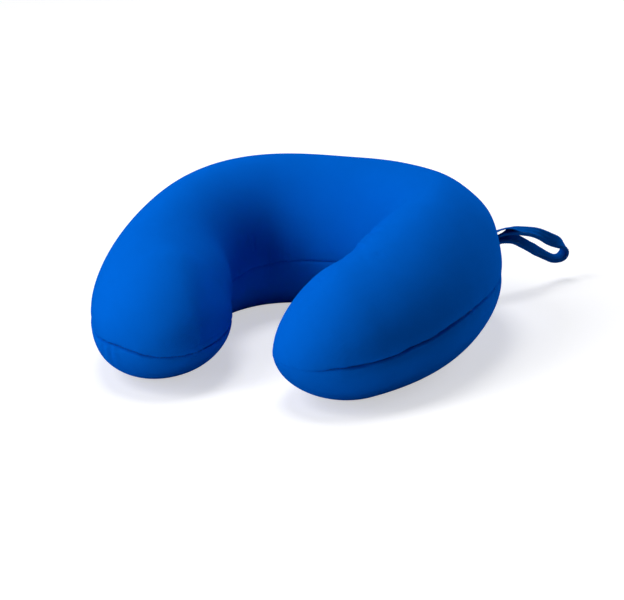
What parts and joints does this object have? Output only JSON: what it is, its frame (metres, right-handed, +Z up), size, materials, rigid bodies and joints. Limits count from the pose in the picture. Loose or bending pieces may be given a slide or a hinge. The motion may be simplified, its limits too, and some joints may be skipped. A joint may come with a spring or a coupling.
{
  "type": "u shaped neck pillow",
  "caption": "Travel neck pillow: a microbead-filled stretch-cloth tube bent into a nearly closed U, with one outer seam and a small hang loop.",
  "frame": {"origin": "on the surface that the pillow rests on, at the middle of the neck hollow", "axes": "+Z up along the wearer's neck, +Y to the closed back of the U, so the arm tips point to -Y; +X to the side that has the hang loop"},
  "size_m": [0.3043, 0.3411, 0.117],
  "materials": {
    "cover_cloth": "satin",
    "lining_cloth": "matte",
    "microbeads": "matte",
    "thread": "matte",
    "loop_tape": "satin"
  },
  "bodies": {
    "pillow": {"upper_cover": "cover_cloth", "lower_cover": "cover_cloth", "upper_lining": "lining_cloth", "lower_lining": "lining_cloth", "microbead_filling": "microbeads", "overlock_thread": "thread", "loop_tail": "loop_tape"},
    "loop": {"hang_loop": "loop_tape"}
  },
  "joints": [
    {"name": "loop_swing", "type": "hinge", "parent": "pillow", "child": "loop", "pos_m": [0.09674, 0.12656, 0.0446], "axis": [0.8086, -0.5884, 0], "range_deg": [-60, 70]}
  ]
}
